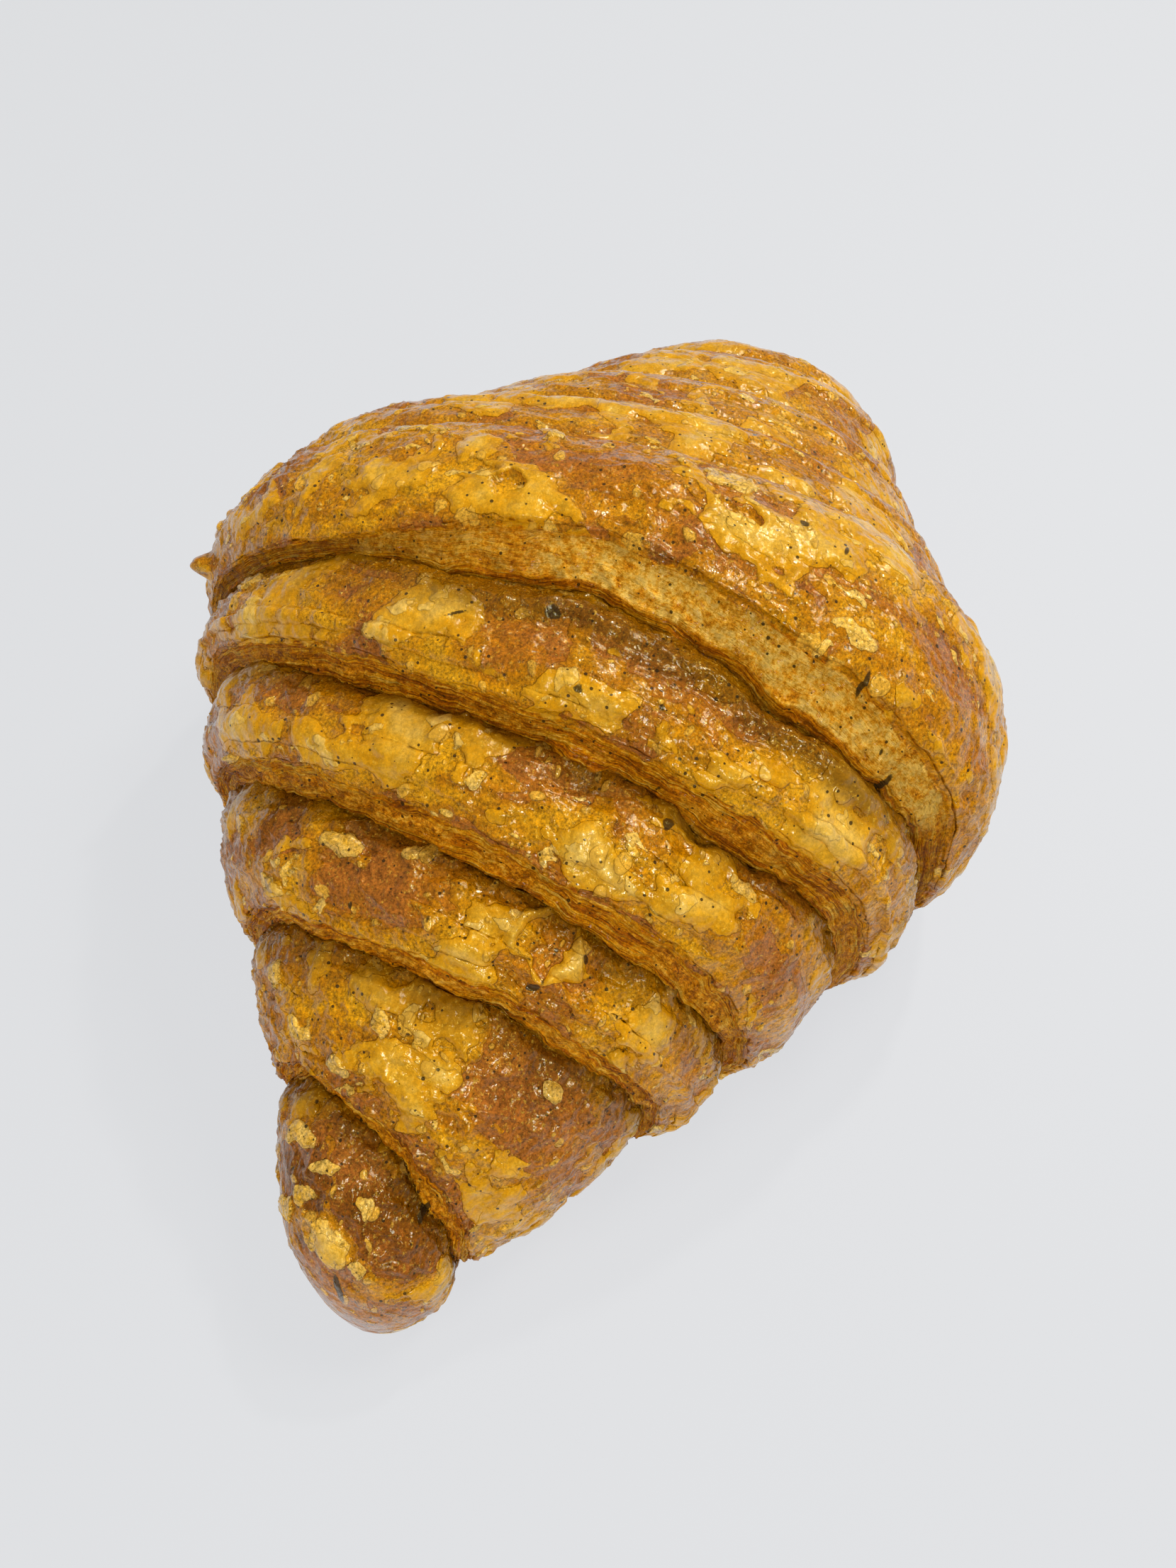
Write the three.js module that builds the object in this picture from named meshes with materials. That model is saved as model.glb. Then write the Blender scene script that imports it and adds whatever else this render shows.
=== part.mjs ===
import * as THREE from 'three';

// A baked croissant: one strip of laminated dough, rolled up and baked as one solid piece.
// Millimetres. +X runs along the roll from its narrow tip to its blunt tip, +Z is up, and the
// origin is under the middle, on the surface that the croissant rests on.

// Driving dimensions.
const LENGTH = 150;
const WIDTH = 101;
const HEIGHT = 54;
const HALF_LENGTH = LENGTH / 2;
const HALF_WIDTH = WIDTH / 2;

// Half the width, as a share of the widest, at shares of the way from the middle to a tip.
const NARROW_TAPER = [
  [0, 1], [0.06, 0.992], [0.14, 0.94], [0.25, 0.865], [0.5, 0.62], [0.72, 0.36], [0.88, 0.22], [1, 0.2],
];
const BLUNT_TAPER = [
  [0, 1], [0.08, 0.993], [0.16, 0.955], [0.26, 0.865], [0.5, 0.665], [0.72, 0.505], [0.88, 0.43], [1, 0.43],
];
// The share of the way to the tip where each end starts to round off.
const NARROW_ROUNDING_STARTS = 0.86;
const BLUNT_ROUNDING_STARTS = 0.76;
// The height follows the width raised to this power, so the narrow ends stand taller than wide.
const HEIGHT_POWER = 0.72;
// How far each tip lies to the -Y side of the middle.
const NARROW_DRIFT = 4.5;
const BLUNT_DRIFT = 3.2;
// The lobe at the narrow tip swings back to +Y: where it is in x, how long it is, and how far.
const LOBE_AT = -67;
const LOBE_SPREAD = 9;
const LOBE_SWING = 1.8;

// The section across the roll: an oval with a flattened base.
const BELLY_LEVEL = 0.4; // height of the widest level, as a share of the section's height
const SECTION_ROUNDNESS = 0.92;
const BASE_ROUNDNESS = 0.8;
const BASE_OVERSHOOT = 1.25; // how far the oval would run past the base if the base weren't flat

// The free edges of the wrapped dough, narrow tip first. at: where one crosses the middle of the
// roll. lean and bend: how far it runs towards +X for each millimetre of y, and for its square.
// step: the height of its cut face. reach: how far that face spreads towards the tip at its foot.
const EDGES = [
  { at: -58.3, lean: 0.28, bend: -0.004, step: 2.6, reach: 1.8 },
  { at: -45, lean: 0.05, bend: 0.0012, step: 2.8, reach: 2.1 },
  { at: -33.6, lean: 0.09, bend: 0.0008, step: 3.4, reach: 3 },
  { at: -22, lean: 0.035, bend: 0.001, step: 3.7, reach: 3 },
  { at: -4, lean: -0.01, bend: -0.0015, step: 4.4, reach: 3.4 },
  { at: 11.5, lean: -0.17, bend: -0.001, step: 2.3, reach: 2 },
  { at: 25.5, lean: -0.17, bend: -0.0006, step: 2.3, reach: 2 },
  { at: 41, lean: -0.15, bend: 0, step: 2.4, reach: 2 },
  { at: 56.5, lean: -0.12, bend: 0, step: 1.8, reach: 2 },
];
// One edge's profile, from the tip side to the middle: the share of its reach, a distance in mm
// (both towards the tip), and the share of its step that the point lies below the envelope.
const EDGE_PROFILE = [[1, 2, 0.3], [1, 0, 1], [0.5, 0, 0.52], [0, 0, 0.07], [0, -1.6, 0]];
// Skin rows between two edges, as shares of the gap between them.
const SKIN_ROWS = [0.34, 0.67];
// Rows over each rounded tip, as shares of the way from the last edge to the tip.
const TIP_ROWS = [0.3, 0.55, 0.75, 0.88, 0.96];
// An edge wanders a little as it goes round.
const WANDER = 0.8;
const WANDER_WAVES = 3;

const COLUMNS = 48;
const NUDGE = 1e-3; // step for the envelope's finite differences, mm and radians
const FADE_HEIGHT = 0.3; // edges flatten out below this share of the section's height

const smooth = (t) => THREE.MathUtils.smoothstep(t, 0, 1);

// A smooth curve through [share, value] pairs.
function taperCurve(pairs) {
  const curve = new THREE.SplineCurve(pairs.map(([share, value]) => new THREE.Vector2(share, value)));
  const samples = curve.getPoints(200);
  return (share) => {
    const next = samples.findIndex((point) => point.x >= share);
    if (next <= 0) return samples[next === 0 ? 0 : samples.length - 1].y;
    const low = samples[next - 1];
    const high = samples[next];
    return THREE.MathUtils.mapLinear(share, low.x, high.x, low.y, high.y);
  };
}

const narrowTaper = taperCurve(NARROW_TAPER);
const bluntTaper = taperCurve(BLUNT_TAPER);

// The width at x as a share of the widest, rounded off at both tips.
function widthShare(x) {
  const share = Math.min(Math.abs(x) / HALF_LENGTH, 1);
  const taper = x < 0 ? narrowTaper(share) : bluntTaper(share);
  const start = x < 0 ? NARROW_ROUNDING_STARTS : BLUNT_ROUNDING_STARTS;
  const past = Math.max(share - start, 0) / (1 - start);
  return taper * Math.sqrt(1 - past * past);
}

// How far the middle of the section at x lies off the straight line, in y.
function sideways(x) {
  const reach = x < 0 ? NARROW_DRIFT : BLUNT_DRIFT;
  const lobe = LOBE_SWING * Math.exp(-(((x - LOBE_AT) / LOBE_SPREAD) ** 2));
  return lobe - reach * (1 - Math.cos((Math.PI / 2) * (x / HALF_LENGTH)));
}

// A point of the smooth envelope. Angle 0 is the -Y side, and a quarter turn is the top.
function envelope(x, angle) {
  const share = widthShare(x);
  const height = HEIGHT * Math.pow(share, HEIGHT_POWER);
  const belly = BELLY_LEVEL * height;
  const across = Math.cos(angle);
  const rise = Math.sin(angle);
  const y = -HALF_WIDTH * share * Math.sign(across) * Math.pow(Math.abs(across), SECTION_ROUNDNESS);
  const z = rise > 0
    ? belly + (height - belly) * Math.pow(rise, SECTION_ROUNDNESS)
    : belly - belly * BASE_OVERSHOOT * Math.pow(-rise, BASE_ROUNDNESS);
  return { point: new THREE.Vector3(x, y + sideways(x), Math.max(z, 0)), height };
}

// The envelope's outward direction.
function outward(x, angle) {
  const inner = Math.sign(x || 1) * NUDGE;
  const alongX = envelope(x, angle).point.sub(envelope(x - inner, angle).point).divideScalar(inner);
  const around = envelope(x, angle + NUDGE).point.sub(envelope(x, angle - NUDGE).point);
  return alongX.cross(around).normalize();
}

// Where an edge runs, in x, at an angle round the roll.
function edgePath(edge, index, angle) {
  const { y } = envelope(edge.at, angle).point;
  const wander = WANDER * Math.sin(WANDER_WAVES * angle + index);
  return edge.at + edge.lean * y + edge.bend * y * y + wander;
}

// A point on a row, pressed in from the envelope. Edges fade out towards the flat base.
function rowPoint(row, angle) {
  const limit = HALF_LENGTH - NUDGE;
  const x = THREE.MathUtils.clamp(row.path(angle), -limit, limit);
  const { point, height } = envelope(x, angle);
  const fade = smooth(point.z / (FADE_HEIGHT * height));
  const pressed = point.addScaledVector(outward(x, angle), -row.depth * fade);
  pressed.z = Math.max(pressed.z, 0);
  return pressed;
}

// The rows over one edge, from the narrow tip's side to the blunt one's.
function edgeRows(edge, index) {
  const towardsTip = Math.sign(edge.at);
  const rows = EDGE_PROFILE.map(([share, distance, depth]) => ({
    path: (angle) => edgePath(edge, index, angle) + towardsTip * (share * edge.reach + distance),
    depth: depth * edge.step,
  }));
  return edge.at < 0 ? rows : rows.reverse();
}

// A row of open skin, part of the way from one path to another.
function skinRow(from, to, share) {
  return { path: (angle) => THREE.MathUtils.lerp(from(angle), to(angle), share), depth: 0 };
}

// The rows of points along the roll, from the narrow tip to the blunt one.
function makeRows() {
  const blocks = EDGES.map(edgeRows);
  const narrowEnd = () => -HALF_LENGTH;
  const bluntEnd = () => HALF_LENGTH;
  const rows = [...TIP_ROWS].reverse().map((share) => skinRow(blocks[0][0].path, narrowEnd, share));
  blocks.forEach((block, index) => {
    rows.push(...block);
    const next = blocks[index + 1];
    if (!next) return;
    rows.push(...SKIN_ROWS.map((share) => skinRow(block.at(-1).path, next[0].path, share)));
  });
  rows.push(...TIP_ROWS.map((share) => skinRow(rows.at(-1).path, bluntEnd, share)));
  return rows;
}

// The closed surface: rings of points joined into quads, with a fan over each tip.
function croissantGeometry() {
  const rows = makeRows();
  const positions = [];
  const push = (point) => positions.push(point.x, point.y, point.z) / 3 - 1;
  const rings = rows.map((row) => Array.from({ length: COLUMNS }, (_, column) => (
    push(rowPoint(row, (column / COLUMNS) * 2 * Math.PI))
  )));
  const tipPoint = (x) => {
    const { point } = envelope(x, Math.PI / 2);
    return new THREE.Vector3(x, point.y, point.z / 2);
  };
  const narrowTip = push(tipPoint(-HALF_LENGTH));
  const bluntTip = push(tipPoint(HALF_LENGTH));

  const triangles = [];
  for (let column = 0; column < COLUMNS; column += 1) {
    const next = (column + 1) % COLUMNS;
    triangles.push(narrowTip, rings[0][column], rings[0][next]);
    triangles.push(bluntTip, rings.at(-1)[next], rings.at(-1)[column]);
    for (let row = 0; row + 1 < rings.length; row += 1) {
      const [a, b] = [rings[row][column], rings[row][next]];
      const [c, d] = [rings[row + 1][column], rings[row + 1][next]];
      triangles.push(a, c, d, a, d, b);
    }
  }
  const geometry = new THREE.BufferGeometry();
  geometry.setAttribute('position', new THREE.Float32BufferAttribute(positions, 3));
  geometry.setIndex(triangles);
  geometry.computeBoundingBox();
  const middle = geometry.boundingBox.getCenter(new THREE.Vector3());
  geometry.translate(-middle.x, -middle.y, -geometry.boundingBox.min.z);
  geometry.computeVertexNormals();
  return geometry;
}

const crust = new THREE.MeshStandardMaterial({ color: 0xb06a2c, roughness: 0.45, metalness: 0 });
const croissant = new THREE.Mesh(croissantGeometry(), crust);
croissant.name = 'croissant';

const group = new THREE.Group();
group.add(croissant);

export default group;
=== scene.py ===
import math

import bpy
import numpy as np
from mathutils import Matrix, Vector


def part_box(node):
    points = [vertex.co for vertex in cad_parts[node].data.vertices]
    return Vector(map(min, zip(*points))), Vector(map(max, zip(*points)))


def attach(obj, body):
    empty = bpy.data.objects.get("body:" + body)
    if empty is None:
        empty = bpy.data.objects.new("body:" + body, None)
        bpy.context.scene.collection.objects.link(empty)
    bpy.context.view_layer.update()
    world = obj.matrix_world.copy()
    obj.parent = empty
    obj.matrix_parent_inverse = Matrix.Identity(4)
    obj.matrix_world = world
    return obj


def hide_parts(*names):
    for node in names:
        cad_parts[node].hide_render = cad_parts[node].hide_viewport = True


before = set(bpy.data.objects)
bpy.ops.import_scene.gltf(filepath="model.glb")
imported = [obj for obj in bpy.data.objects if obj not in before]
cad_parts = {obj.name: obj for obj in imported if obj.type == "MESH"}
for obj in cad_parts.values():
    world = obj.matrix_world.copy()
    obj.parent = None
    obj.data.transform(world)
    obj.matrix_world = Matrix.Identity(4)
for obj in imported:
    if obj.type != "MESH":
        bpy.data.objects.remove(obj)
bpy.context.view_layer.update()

# A baked croissant on a pale table. The surface is worked out in millimetres, in the CAD's frame.
# Every row of points goes round the roll, and the rows follow the free edges of the dough layers.

MM = 0.001
node_low, node_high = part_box("croissant")
LENGTH, WIDTH, HEIGHT = (node_high - node_low) / MM
HALF_LENGTH = LENGTH / 2
HALF_WIDTH = WIDTH / 2
SEED = 11

# ---- The smooth envelope, as in the CAD ----

NARROW_TAPER = [(0, 1), (0.06, 0.992), (0.14, 0.94), (0.25, 0.865),
                (0.5, 0.62), (0.72, 0.36), (0.88, 0.22), (1, 0.2)]
BLUNT_TAPER = [(0, 1), (0.08, 0.993), (0.16, 0.955), (0.26, 0.865),
               (0.5, 0.665), (0.72, 0.505), (0.88, 0.43), (1, 0.43)]
NARROW_ROUNDING_STARTS = 0.86
BLUNT_ROUNDING_STARTS = 0.76
HEIGHT_POWER = 0.72
NARROW_DRIFT = 4.5
BLUNT_DRIFT = 3.2
LOBE_AT = -67.0
LOBE_SPREAD = 9.0
LOBE_SWING = 1.8
BELLY_LEVEL = 0.4
SECTION_ROUNDNESS = 0.92
BASE_ROUNDNESS = 0.8
BASE_OVERSHOOT = 1.25


def smoothstep(low, high, value):
    t = np.clip((value - low) / (high - low), 0, 1)
    return t * t * (3 - 2 * t)


def bell(value, middle, spread):
    """1 where value is at the middle, falling off smoothly on both sides."""
    return np.exp(-(((value - middle) / spread) ** 2))


def spline_table(pairs, steps=30):
    """Dense points on a smooth curve through the pairs."""
    points = np.array(pairs, float)
    before = np.vstack([points[:1], points[:-1]])
    after = np.vstack([points[1:], points[-1:]])
    slopes = (after - before) / 2
    t = np.linspace(0, 1, steps)[:, None]
    pieces = []
    for i in range(len(points) - 1):
        a, b, m, n = points[i], points[i + 1], slopes[i], slopes[i + 1]
        cubic = 2 * a - 2 * b + m + n
        square = -3 * a + 3 * b - 2 * m - n
        pieces.append(((cubic * t + square) * t + m) * t + a)
    return np.concatenate(pieces)


narrow_table = spline_table(NARROW_TAPER)
blunt_table = spline_table(BLUNT_TAPER)


def width_share(x):
    share = np.minimum(np.abs(x) / HALF_LENGTH, 1)
    narrow = np.interp(share, narrow_table[:, 0], narrow_table[:, 1])
    blunt = np.interp(share, blunt_table[:, 0], blunt_table[:, 1])
    start = np.where(x < 0, NARROW_ROUNDING_STARTS, BLUNT_ROUNDING_STARTS)
    past = np.maximum(share - start, 0) / (1 - start)
    return np.where(x < 0, narrow, blunt) * np.sqrt(np.maximum(1 - past * past, 0))


def sideways(x):
    """How far the middle of a section lies off the straight line, in y."""
    reach = np.where(x < 0, NARROW_DRIFT, BLUNT_DRIFT)
    drift = -reach * (1 - np.cos(math.pi / 2 * x / HALF_LENGTH))
    return drift + LOBE_SWING * bell(x, LOBE_AT, LOBE_SPREAD)


def envelope(x, angle):
    """Points of the smooth envelope, and the section's height there. Angle 0 is the -Y side."""
    share = width_share(x)
    height = HEIGHT * share ** HEIGHT_POWER
    belly = BELLY_LEVEL * height
    across, rise = np.cos(angle), np.sin(angle)
    y = -HALF_WIDTH * share * np.sign(across) * np.abs(across) ** SECTION_ROUNDNESS
    top = belly + (height - belly) * np.abs(rise) ** SECTION_ROUNDNESS
    under = belly - belly * BASE_OVERSHOOT * np.abs(rise) ** BASE_ROUNDNESS
    z = np.maximum(np.where(rise > 0, top, under), 0)
    return np.stack([x + 0 * angle, y + sideways(x), z], -1), height + 0 * angle


# ---- Seeded noise on arrays of points ----

generator = np.random.default_rng(SEED)
shuffled = generator.permutation(256)
directions = generator.normal(size=(256, 3))
directions /= np.linalg.norm(directions, axis=1, keepdims=True)
directions = directions.astype(np.float32)
scatter = generator.random((256, 4)).astype(np.float32)
CORNERS = [(i, j, k) for i in (0, 1) for j in (0, 1) for k in (0, 1)]


def lattice(cell, offset, salt):
    """A random number from 0 to 255 for each cell's neighbour at the offset."""
    a = shuffled[(cell[..., 0] + offset[0] + salt) & 255]
    b = shuffled[(a + cell[..., 1] + offset[1]) & 255]
    return shuffled[(b + cell[..., 2] + offset[2]) & 255]


def gradient_noise(points, size, salt=0):
    """Smooth noise from about -1 to 1, whose features are about size across (a number or x, y, z)."""
    p = (points / np.asarray(size)).astype(np.float32)
    cell = np.floor(p).astype(np.int32)
    part = p - cell
    ease = part * part * part * (part * (part * 6 - 15) + 10)
    total = np.zeros(p.shape[:-1], np.float32)
    for corner in CORNERS:
        push = directions[lattice(cell, corner, salt)]
        away = part - np.array(corner, np.float32)
        weight = np.ones_like(total)
        for axis in range(3):
            weight *= ease[..., axis] if corner[axis] else 1 - ease[..., axis]
        total += weight * (push * away).sum(-1)
    return total * 1.7


def layered_noise(points, size, octaves=3, salt=0, gain=0.5):
    total, strength, scale = 0, 1, np.asarray(size, float)
    for octave in range(octaves):
        total = total + strength * gradient_noise(points, scale, salt + 31 * octave)
        strength, scale = strength * gain, scale / 2
    return total


def ridges(points, size, salt=0):
    """Thin winding crests: 1 on a crest and 0 away from it."""
    return np.clip(1 - 2.8 * np.abs(gradient_noise(points, size, salt)), 0, 1) ** 1.4


def cell_noise(points, size, salt=0):
    """Distance to the nearest scattered point, in the points' units, and two random numbers it has."""
    p = (points / np.asarray(size)).astype(np.float32)
    cell = np.floor(p).astype(np.int32)
    part = p - cell
    best = np.full(p.shape[:-1], 9, np.float32)
    first, second = np.zeros_like(best), np.zeros_like(best)
    for i in (-1, 0, 1):
        for j in (-1, 0, 1):
            for k in (-1, 0, 1):
                pick = scatter[lattice(cell, (i, j, k), salt)]
                away = part - pick[..., :3] - np.array((i, j, k), np.float32)
                distance = np.sqrt((away * away).sum(-1))
                nearer = distance < best
                best = np.where(nearer, distance, best)
                first = np.where(nearer, pick[..., 3], first)
                second = np.where(nearer, pick[..., 0], second)
    return best * np.mean(size), first, second


# ---- The columns, which run along the roll ----

SPACING = 0.33
BASE_LEVEL = 0.01        # points lower than this, in mm, are on the flat base
BASE_SHARE = 0.45        # how dense the columns on the base are, as a share of elsewhere
ANGLE_SAMPLES = 6001     # fine steps round the roll that the columns are picked from
JOINING = 3              # how far round the roll a joint between two angle pairs is smoothed, in mm


def column_angles():
    """Angles that space the columns evenly round the widest section, and wider under the base."""
    fine = np.linspace(-math.pi / 2, 1.5 * math.pi, ANGLE_SAMPLES)
    points, _ = envelope(np.zeros_like(fine), fine)
    lengths = np.linalg.norm(np.diff(points, axis=0), axis=1)
    middle = (points[1:, 2] + points[:-1, 2]) / 2
    lengths *= np.where(middle < BASE_LEVEL, BASE_SHARE, 1)
    travelled = np.concatenate([[0], np.cumsum(lengths)])
    count = int(travelled[-1] / SPACING)
    return np.interp(np.arange(count) / count * travelled[-1], travelled, fine)


angles = column_angles()
COLUMNS = len(angles)
ring = np.stack([np.cos(angles), np.sin(angles)], -1)


def round_noise(size, salt):
    """Noise that goes smoothly round the roll. size is a share of the roll's radius."""
    points = np.stack([ring[:, 0], ring[:, 1], np.full(COLUMNS, salt * 7.3)], -1)
    return gradient_noise(points, size, salt)


def by_angle(value):
    """One value for each column, from a number or from (angle, number) pairs joined smoothly."""
    if np.isscalar(value):
        return np.full(COLUMNS, float(value))
    pairs = np.array(value, float)
    joined = np.interp(np.degrees(angles), pairs[:, 0], pairs[:, 1])
    reach = max(int(JOINING / SPACING), 1)
    weights = np.hanning(2 * reach + 1)
    padded = np.concatenate([joined[-reach:], joined, joined[:reach]])
    return np.convolve(padded, weights / weights.sum(), "valid")


# ---- The free edges of the dough layers ----

# path: where the edge runs, in x. Or at, lean, bend: where it crosses the top, and how it swings
# towards +X with y and y squared. step: its height. reach: how far its cut face spreads at the foot.
# dip: how far out the layer below starts to sink under it. shoulder: how far in its rounded corner
# reaches. shape: the cut face's profile. layers: how many show in it. fold: how strongly the layer
# below puckers into a fold and a hollow beside the crease. A list has (angle in degrees, mm) pairs.
#
# A cut face's profile has points of: share of the way up it, share of its reach, share of its step.
LIP = [(0, 1, 1), (0.08, 0.97, 0.88), (0.5, 0.52, 0.52),
       (0.86, 0.14, 0.26), (0.95, 0.04, 0.16), (1, 0, 0.07)]
DOUBLE_LIP = [(0, 1, 1), (0.06, 0.99, 0.86), (0.14, 0.97, 0.72), (0.24, 0.9, 0.66),
              (0.34, 0.76, 0.68), (0.58, 0.42, 0.46), (0.68, 0.32, 0.3), (0.86, 0.12, 0.18),
              (0.95, 0.03, 0.12), (1, 0, 0.06)]
STRIP = [(0, 1, 1), (0.06, 0.98, 0.9), (0.2, 0.85, 0.66), (0.24, 0.81, 0.62), (0.55, 0.48, 0.46),
         (0.86, 0.1, 0.31), (0.9, 0.07, 0.28), (0.95, 0.01, 0.15), (1, 0, 0.05)]
SWELL = [(0, 1, 1), (0.3, 0.72, 0.8), (0.7, 0.3, 0.3), (1, 0, 0.06)]
FAR_SIDE = dict(reach=2.0, shoulder=2.4, shape=SWELL, layers=5)
EDGES = [
    dict(at=-58.3, lean=0.28, bend=-0.004, shape=LIP, layers=5,
         step=[(0, 1.8), (50, 2.8), (120, 2.6), (170, 2.0)], reach=[(0, 1.2), (50, 2.0), (120, 1.6)]),
    dict(at=-45.0, lean=0.05, bend=0.0012, shape=LIP, layers=6,
         step=[(0, 1.8), (30, 2.6), (70, 3.0), (130, 2.8), (170, 2.2)],
         reach=[(0, 1.2), (30, 1.8), (70, 2.4), (120, 2.0), (160, 1.4)]),
    dict(at=-33.6, lean=0.09, bend=0.0008, shape=DOUBLE_LIP, layers=9,
         step=[(0, 2.6), (30, 3.4), (100, 3.4), (160, 3.0)],
         reach=[(0, 1.8), (20, 2.6), (55, 3.4), (80, 3.0), (120, 3.2), (160, 2.0)]),
    dict(at=-22.0, lean=0.035, bend=0.001, shape=LIP, layers=9,
         step=[(0, 2.6), (30, 3.8), (110, 3.8), (160, 2.8)],
         reach=[(10, 3.0), (50, 3.8), (62, 2.6), (85, 2.6), (110, 2.8), (160, 2.0)]),
    dict(path=[(-30, -9.8), (6, -9.6), (14, -8.2), (28, -7.8), (36, -7.6), (48, -6.3),
               (61, -5.8), (68, -4.8), (78, -3.8), (86, -3.4), (92, -4.1), (97, -5.3),
               (105, -7.3), (115, -9.1), (130, -9.8), (210, -9.8)],
         reach=[(0, 1.6), (12, 2.4), (28, 4.6), (42, 5.8), (57, 6.0), (68, 6.2), (82, 6.8), (90, 6.4),
                (97, 5.2), (105, 3.4), (115, 1.6), (130, 1.2)],
         step=[(0, 3.0), (30, 4.8), (90, 4.4), (115, 3.0), (160, 2.4)], shape=STRIP, layers=12, dip=8,
         fold=[(20, 0), (40, 1), (92, 1), (108, 0)]),
    dict(at=11.5, lean=-0.17, bend=-0.001, step=2.3, dip=7, **FAR_SIDE),
    dict(at=25.5, lean=-0.17, bend=-0.0006, step=2.3, dip=7, **FAR_SIDE),
    dict(at=41.0, lean=-0.15, bend=0, step=2.4, dip=7, **FAR_SIDE),
    dict(at=56.5, lean=-0.12, bend=0, step=1.8, dip=4, **FAR_SIDE),
]
CENTRAL = 4          # the front edge of the middle layer, which shows a strip of raw dough
DOUGHY = 2           # the edge whose cut face shows the most pale dough
DIP = 4.2
SHOULDER = 1.6
WANDER = 0.7         # how far an edge strays, and two finer ripples along it
RIPPLE = 0.3
FINE_RIPPLE = 0.16
LEAST_SKIN = 1.0     # the open skin left between two edges that run close together
LEAST_DIP = 0.5
LEAST_REACH = 0.4
BULGE = 0.6          # how far a layer swells between its edges
CREASE_SHADE = 6.0   # how far the painted shade beside a crease reaches
NEAR_CREASE_SHADE = 0.3    # how dark the painted shade still is where a layer starts to sink
FAR_CREASE_SHADE = 0.5     # how dark the painted shade in the shallow creases past the middle is
FOLD_CREST = 5.2     # how far from the crease the fold stands out, and its hollow sinks in
FOLD_HOLLOW = 2.1
TIP_GAP = 0.02       # the last ring stops this far short of the tip
EDGE_DENSITY = 1.3   # how much closer the rows are than the columns, beside an edge and on the skin
SKIN_DENSITY = 1.25
RISER_ROWS = 34
CAP_ROWS = 46


class Edge:
    """One free edge: its path round the roll, its step and the spread of its cut face, by column."""

    def __init__(self, index, spec):
        self.index = index
        if "path" in spec:
            path = by_angle(spec["path"])
        else:
            points, _ = envelope(np.full(COLUMNS, float(spec["at"])), angles)
            y = points[:, 1]
            path = spec["at"] + spec["lean"] * y + spec["bend"] * y * y
            path = path + WANDER * round_noise(0.5, index + 1)
        path = path + RIPPLE * round_noise(0.12, index + 20)
        path = path + FINE_RIPPLE * round_noise(0.05, index + 30)
        self.facing = -1 if path.mean() < 0 else 1
        self.path = np.clip(path, -HALF_LENGTH + 2, HALF_LENGTH - 2)
        self.step = by_angle(spec["step"]) * (1 + 0.2 * round_noise(0.4, index + 40))
        reach = by_angle(spec["reach"]) * (1 + 0.25 * round_noise(0.35, index + 60))
        self.reach = np.maximum(reach, LEAST_REACH)
        self.dip = by_angle(spec.get("dip", DIP))
        self.shoulder = spec.get("shoulder", SHOULDER)
        self.shape = np.array(spec["shape"])
        self.layers = spec["layers"]
        self.fold = by_angle(spec.get("fold", 0))

    def width_towards(self, way):
        """How far the edge's own rows reach on one side: its shoulder, or its cut face and dip."""
        return self.dip + self.reach if way == self.facing else self.shoulder


edges = [Edge(index, spec) for index, spec in enumerate(EDGES)]


def keep_apart(low, high):
    """Shorten the dip between two edges where they run close together."""
    if low.facing != high.facing:
        return
    dipping, other = (high, low) if low.facing < 0 else (low, high)
    room = high.path - low.path - dipping.reach - other.shoulder - LEAST_SKIN
    dipping.dip = np.clip(room, LEAST_DIP, dipping.dip)


for low_edge, high_edge in zip(edges, edges[1:]):
    keep_apart(low_edge, high_edge)


class Rows:
    """Blocks of rows, each an array of rows by columns, from the narrow tip to the blunt one."""

    NAMES = ("x", "depth", "riser", "across", "layer", "brink", "crease", "edge")

    def __init__(self):
        self.blocks = {name: [] for name in self.NAMES}

    def add(self, x, **values):
        blank = np.zeros((len(x), COLUMNS))
        for name in self.NAMES:
            value = x if name == "x" else values.get(name, blank)
            self.blocks[name].append(value + blank)

    def stack(self):
        return {name: np.concatenate(blocks) for name, blocks in self.blocks.items()}


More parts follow.
